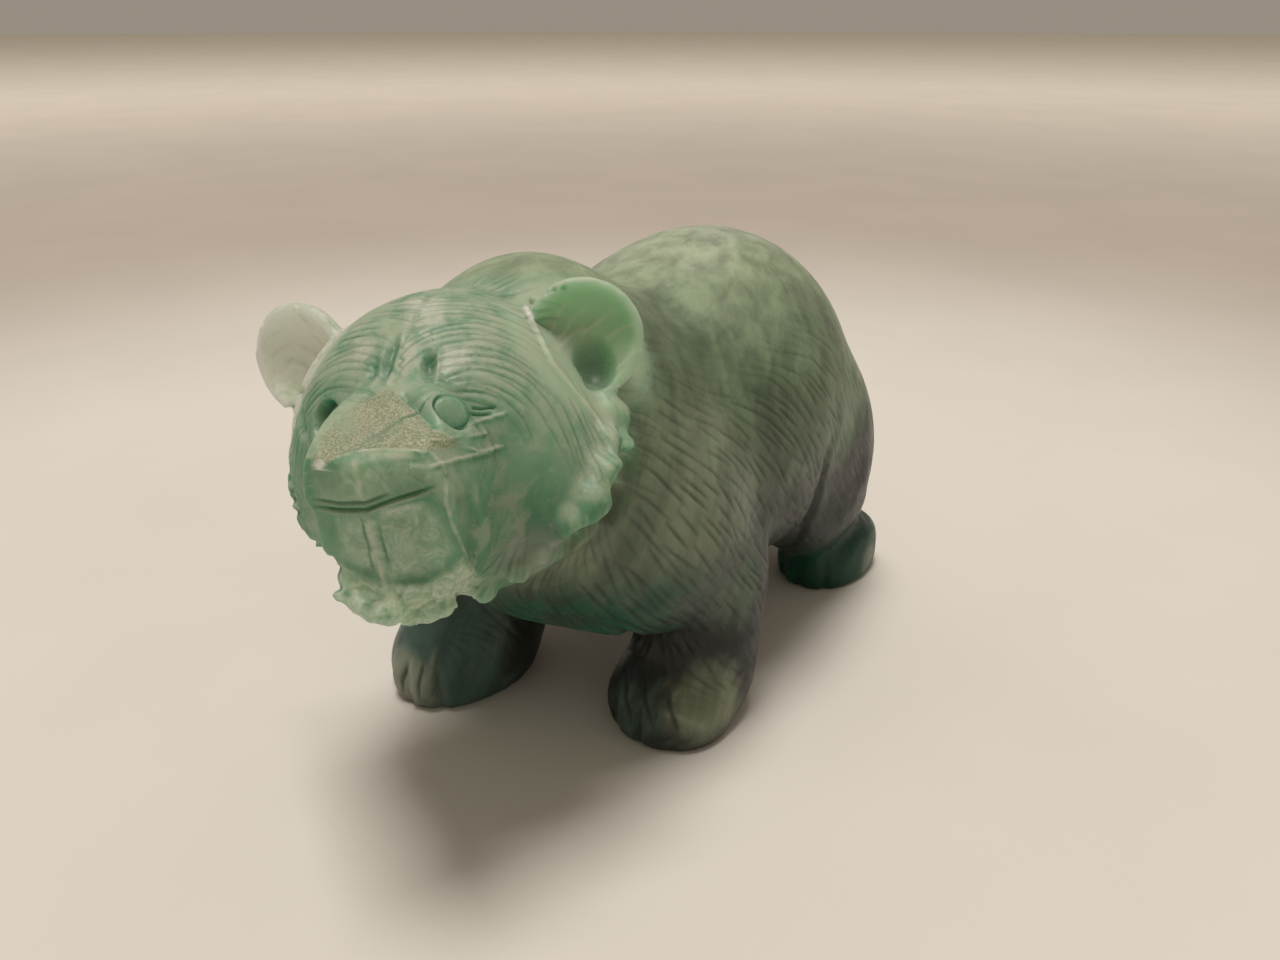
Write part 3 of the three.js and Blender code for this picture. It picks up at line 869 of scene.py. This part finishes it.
coordinates = add("TexCoord").outputs["Object"]
millimetres = add("Mapping", {"Vector": coordinates, "Scale": (1 / MM, 1 / MM, 1 / MM)}).outputs[0]
side_place, length_place, height_place = add("SeparateXYZ", {0: millimetres}).outputs
drift = cloud(scale=0.06, detail=3, roughness=0.5, stretch=(1, 1, 0.8), distortion=0.4)
level = add("Math", {0: drift, 1: BAND_DRIFT, 2: height_place}, operation="MULTIPLY_ADD").outputs[0]
bands = add("ValToRGB", {0: between(level, low=LOWEST_BAND, high=HIGHEST_BAND)})
ramp = bands.color_ramp
for number, (place, colour) in enumerate(BAND_COLOURS):
    if 0 < number < len(BAND_COLOURS) - 1:
        stop = ramp.elements.new(place)
    else:
        stop = ramp.elements[0 if number == 0 else -1]
    stop.position = place
    stop.color = (*colour, 1)
body_colour = bands.outputs["Color"]
wisps = cloud(scale=0.15, detail=5, roughness=0.62, stretch=(1, 1.2, 0.4), distortion=0.7)
veils = between(wisps, low=0.48, high=0.7, top=0.5)
above_legs = between(height_place, low=12.0, high=30.0)
body_colour = mixed(both(veils, above_legs), body_colour, VEIL_STONE)

# Balls of darker, paler and greener colour lie over the bands, each with a ragged edge, alike on both
# sides; the first, a dark one on the neck behind the head, is painted shade. Each has its middle, reach,
# strength and colour.
CLOUDS_AND_PAINTED_SHADE = [
    # The first ball, dark on the neck behind the head, is painted shade.
    ((11, -5, 41), 12, 0.5, (0.05, 0.08, 0.045)), ((18, 5, 31), 10, 0.5, (0.045, 0.07, 0.035)),
    ((15.5, 5, 21), 9, 0.7, (0.035, 0.045, 0.03)), ((13, 17, 38), 8, 0.45, (0.09, 0.13, 0.08)),
    ((17, -9, 29), 12, 0.6, (0.26, 0.29, 0.21)), ((17.5, 26, 12), 21, 0.97, (0.007, 0.014, 0.009)),
    ((16, -6, 12), 10, 0.85, (0.026, 0.024, 0.026)), ((3, 10, 47), 10, 0.48, (0.55, 0.58, 0.45)),
    ((2, 20, 47), 9, 0.4, (0.5, 0.52, 0.42)), ((9, -18, 6), 11, 0.75, (0.11, 0.2, 0.17)),
    ((15, 30, 35), 8, 0.75, (0.36, 0.52, 0.35)), ((17, 20, 28), 9, 0.65, (0.2, 0.3, 0.185)),
    ((15, -3, 17), 7, 0.7, (0.17, 0.26, 0.165)),
]
OLIVE_TOES = [
    ((13, -22, 3), 7, 0.85, (0.36, 0.38, 0.3)), ((17.5, -8, 5), 7, 0.85, (0.27, 0.3, 0.2)),
    ((18, 34, 2.5), 4, 0.85, (0.14, 0.2, 0.12)),
]
REAR_TEAL = (0.006, 0.068, 0.04)
CHEST_TEAL = (0.015, 0.105, 0.058)
STREAK_PALE = (0.34, 0.36, 0.28)
STREAK_TEAL = (0.02, 0.13, 0.08)
folded_side = add("Math", {0: side_place}, operation="ABSOLUTE").outputs[0]
folded = add("CombineXYZ", {0: folded_side, 1: length_place, 2: height_place}).outputs[0]
ragged = cloud(scale=0.16, detail=5, roughness=0.65, stretch=(1, 1, 0.5), distortion=0.6)


def with_clouds(colour, clouds, raggedness, start, end):
    """The colour of the stone with balls of other colours in it."""
    for middle, reach, most, shade in clouds:
        apart = add("VectorMath", {0: folded, 1: middle}, operation="DISTANCE").outputs["Value"]
        rough_edge = {0: ragged, 1: -raggedness * reach, 2: apart}
        apart = add("Math", rough_edge, operation="MULTIPLY_ADD").outputs[0]
        colour = mixed(between(apart, low=start * reach, high=end * reach, top=most), colour, shade)
    return colour


body_colour = with_clouds(body_colour, CLOUDS_AND_PAINTED_SHADE, raggedness=1.3, start=0.25, end=-0.3)
teal_rear = both(between(length_place, low=18.0, high=24.0), between(height_place, low=12.5, high=4.5))
teal_rear = both(teal_rear, between(ragged, low=0.32, high=0.56, bottom=0.45))
body_colour = mixed(teal_rear, body_colour, REAR_TEAL)
teal_chest = both(between(length_place, low=-6.0, high=-16.0), between(height_place, low=25.0, high=19.0))
teal_chest = both(teal_chest, between(height_place, low=11.0, high=15.0))
chest_layers = cloud(scale=0.3, detail=3, roughness=0.6, stretch=(1, 1, 0.3))
teal_chest = both(teal_chest, between(chest_layers, low=0.3, high=0.6, bottom=0.3))
body_colour = mixed(teal_chest, body_colour, CHEST_TEAL)
body_colour = with_clouds(body_colour, OLIVE_TOES, raggedness=1.0, start=0.3, end=-0.2)
thin_layers = cloud(scale=0.42, detail=4, roughness=0.6, stretch=(1, 1, 0.2), distortion=0.4)
streaks = between(thin_layers, low=0.3, high=0.7, bottom=0.75, top=1.22)
body_colour = mixed(1.0, body_colour, streaks, "MULTIPLY")
body_colour = mixed(both(mark("pale"), 0.7), body_colour, STREAK_PALE)
body_colour = mixed(both(mark("teal"), 0.75), body_colour, STREAK_TEAL)

# The head is clear mint stone, milky at the chin and hazy purple under the cheek. Its ground ridges are
# frosted paler than the cuts between them, which are darkened as deeper clear stone and as painted shade,
# its hollows are polished dark, and the bridge is sandy. Faces that look up are painted paler as light from
# above, and the far ear is painted almost white as light shining through it.
DEEP_MINT = (0.08, 0.27, 0.15)
PALE_MINT = (0.2, 0.42, 0.25)
MILK = (0.42, 0.5, 0.36)
PURPLE_HAZE = (0.34, 0.33, 0.3)
HAZE_MIDDLE = (13, -28, 29.5)
CHIN_MILK = (0.64, 0.77, 0.58)
FAR_EAR_PAINTED_LIGHT = (0.93, 0.95, 0.84)
NEAR_EAR_STONE = (0.47, 0.66, 0.45)
TOP_FROST_AND_PAINTED_LIGHT = (0.5, 0.55, 0.4)
SILVER_FROST_AND_HIGHLIGHT = (0.68, 0.68, 0.56)
RIDGE_FROST = (0.7, 0.7, 0.56)
POLISHED_HOLLOW = (0.085, 0.3, 0.18)
BODY_GROOVE_SHADE = (0.022, 0.038, 0.022)
HEAD_GROOVE_STONE_AND_SHADE = (0.035, 0.17, 0.09)
DARK_SAND = (0.26, 0.29, 0.17)
BRIGHT_SAND = (0.6, 0.57, 0.42)
CHIP_AND_HIGHLIGHT_WHITE = (0.97, 0.96, 0.92)
head_mark = mark("head")
mint_clouds = cloud(scale=0.14, detail=4, roughness=0.6, distortion=0.5)
mint = mixed(between(mint_clouds, low=0.35, high=0.7), DEEP_MINT, PALE_MINT)
milk_clouds = cloud(scale=0.26, detail=5, roughness=0.68, distortion=1.0)
mint = mixed(between(milk_clouds, low=0.47, high=0.66, top=0.7), mint, MILK)
haze_distance = add("VectorMath", {0: folded, 1: HAZE_MIDDLE}, operation="DISTANCE").outputs["Value"]
mint = mixed(between(haze_distance, low=5.0, high=1.5, top=0.6), mint, PURPLE_HAZE)
inner_wisps = cloud(scale=0.7, detail=5, roughness=0.7, distortion=1.5)
inner_veils = between(inner_wisps, low=0.38, high=0.62, bottom=0.5)
mint = mixed(both(mark("haze"), inner_veils), mint, CHIN_MILK)
colour = mixed(head_mark, body_colour, mint)
# The far ear is painted almost white as painted light shining through it; the near ear keeps a paler stone
# colour.
ear_stone_and_painted_light = mixed(between(side_place, low=-3.0, high=3.0), FAR_EAR_PAINTED_LIGHT, NEAR_EAR_STONE)
colour = mixed(both(mark("ear"), 0.95), colour, ear_stone_and_painted_light)
# Frost on the head, painted paler where the surface looks up: frost and painted light from above.
frosting = between(cloud(scale=0.5, detail=5, roughness=0.7), low=0.36, high=0.6, bottom=0.35)
upward = add("SeparateXYZ", {0: add("NewGeometry").outputs["Normal"]}).outputs[2]
frost_and_painted_top_light = both(both(frosting, between(upward, low=0.05, high=0.75)), both(head_mark, 0.85))
colour = mixed(frost_and_painted_top_light, colour, TOP_FROST_AND_PAINTED_LIGHT)
# Silvery frost on the brow patches, painted pale also as painted highlights.
silver_highlight_grain = cloud(scale=1.2, detail=4, roughness=0.7)
silvered_and_highlit = both(mark("silver_and_highlight"), between(silver_highlight_grain, low=0.35, high=0.6, bottom=0.4, top=0.85))
colour = mixed(silvered_and_highlit, colour, SILVER_FROST_AND_HIGHLIGHT)
broken = between(cloud(scale=1.6, detail=4, roughness=0.7), low=0.38, high=0.58, bottom=0.12, top=0.5)
colour = mixed(both(mark("frost"), broken), colour, RIDGE_FROST)
colour = mixed(both(mark("smooth"), 0.55), colour, POLISHED_HOLLOW)
# Cuts are darkened: deeper clear green on the head and painted shade in the grooves, darkest on the body.
groove_stone_and_shade = mixed(head_mark, BODY_GROOVE_SHADE, HEAD_GROOVE_STONE_AND_SHADE)
groove_shade_share = both(mark("cut"), between(head_mark, low=0.0, high=1.0, bottom=0.55, top=0.5))
colour = mixed(groove_shade_share, colour, groove_stone_and_shade)
sand = mixed(between(cloud(scale=6.0, detail=3, roughness=0.7), low=0.4, high=0.62), DARK_SAND, BRIGHT_SAND)
sand_share = both(mark("gold"), between(mark("cut"), low=0.0, high=1.0, bottom=0.85, top=0.35))
colour = mixed(sand_share, colour, sand)
# White where the stone is chipped, and a painted white highlight at the tip of the nose.
colour = mixed(mark("chip_and_highlight"), colour, CHIP_AND_HIGHLIGHT_WHITE)
tree.links.new(colour, shader.inputs["Base Color"])

# The surface is satin from hand polishing, glossier in the hollows and dull on the sandy bridge, with a
# fine grain under a soft ripple. The stone lets light in: clear fluorite bends it by 1.434.
GLOSSY = 0.24
DULL = 0.5
GRAIN_DEPTH = 0.12
GRAIN_STRENGTH = 0.7
body_patches = cloud(scale=0.25, detail=4, roughness=0.6)
head_patches = cloud(scale=0.6, detail=4, roughness=0.7)
body_roughness = between(body_patches, low=0.35, high=0.7, bottom=0.3, top=0.5)
head_roughness = between(head_patches, low=0.35, high=0.65, bottom=0.28, top=0.55)
roughness = add("Mix", {0: head_mark, 2: body_roughness, 3: head_roughness}, data_type="FLOAT").outputs[0]
for kind, finish in (("smooth", GLOSSY), ("gold", DULL)):
    roughness = add("Mix", {0: mark(kind), 2: roughness, 3: finish}, data_type="FLOAT").outputs[0]
tree.links.new(roughness, shader.inputs["Roughness"])
grain = both(cloud(scale=4.0, detail=4, roughness=0.7), between(mark("gold"), low=0.0, high=1.0, bottom=0.4))
ripple = both(cloud(scale=0.9, detail=3, roughness=0.6), 0.6)
lumps = add("Math", {0: grain, 1: ripple}, operation="ADD", use_clamp=True).outputs[0]
bump = add("Bump", {"Height": lumps, "Distance": GRAIN_DEPTH * MM, "Strength": GRAIN_STRENGTH})
tree.links.new(bump.outputs[0], shader.inputs["Normal"])
shader.inputs["IOR"].default_value = 1.434
shader.inputs["Specular IOR Level"].default_value = 0.35
shader.inputs["Subsurface Weight"].default_value = 0.7
shader.inputs["Subsurface Radius"].default_value = (0.6, 1.0, 0.75)
shader.inputs["Subsurface Scale"].default_value = 4 * MM
shader.inputs["Transmission Weight"].default_value = 0.2
bear.data.materials.clear()
bear.data.materials.append(fluorite)

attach(bear, "root")
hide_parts(NODE)

# The stage: a wide sheet of pale paper, painted darker into warm grey further back as painted shade where
# it is lit less, and painted brighter again far off as painted light, one broad soft light overhead, and a
# dim warm room.
FLOOR_RADIUS = 4
FLOOR_SIDES = 96
NEAR_PAPER = (0.74, 0.695, 0.64)
MIDDLE_PAPER_PAINTED_SHADE = (0.5, 0.435, 0.38)
FAR_PAPER_PAINTED_LIGHT = (0.97, 0.89, 0.78)
bpy.ops.object.select_all(action="DESELECT")
bpy.ops.mesh.primitive_circle_add(vertices=FLOOR_SIDES, radius=FLOOR_RADIUS, fill_type="NGON")
floor = bpy.context.object
floor.name = "paper_floor"
paper = bpy.data.materials.new("pale_paper_painted_falloff")
paper.use_nodes = True
tree = paper.node_tree
coordinates = add("TexCoord").outputs["Object"]
away = add("VectorMath", {0: coordinates}, operation="LENGTH").outputs["Value"]
fibre = between(cloud(scale=0.02, detail=3), low=0.3, high=0.7, bottom=0.98, top=1.02)
# The paper's colour darkens further back as painted shade and brightens far off as painted light.
sheet_colour_painted_falloff = mixed(between(away, low=0.1, high=0.27), NEAR_PAPER, MIDDLE_PAPER_PAINTED_SHADE)
sheet_colour_painted_falloff = mixed(between(away, low=0.3, high=1.1), sheet_colour_painted_falloff, FAR_PAPER_PAINTED_LIGHT)
paper_shader = tree.nodes["Principled BSDF"]
tree.links.new(mixed(1.0, sheet_colour_painted_falloff, fibre, "MULTIPLY"), paper_shader.inputs["Base Color"])
paper_shader.inputs["Roughness"].default_value = 0.9
paper_shader.inputs["Specular IOR Level"].default_value = 0.1
floor.data.materials.append(paper)

LAMP_PLACE = Vector((-0.05, -0.1, 1.75))
LAMP_TURN = LAMP_PLACE.to_track_quat("Z", "Y").to_euler()
bpy.ops.object.light_add(type="AREA", location=LAMP_PLACE, rotation=LAMP_TURN)
lamp = bpy.context.object
lamp.data.size = 0.6
lamp.data.energy = 21.5
lamp.data.color = (1, 0.97, 0.92)
room = bpy.data.worlds.new("room")
bpy.context.scene.world = room
room.use_nodes = True
room_light = room.node_tree.nodes["Background"]
room_light.inputs["Color"].default_value = (0.41, 0.365, 0.3, 1)
room_light.inputs["Strength"].default_value = 0.75
bpy.context.scene.view_settings.view_transform = "Standard"
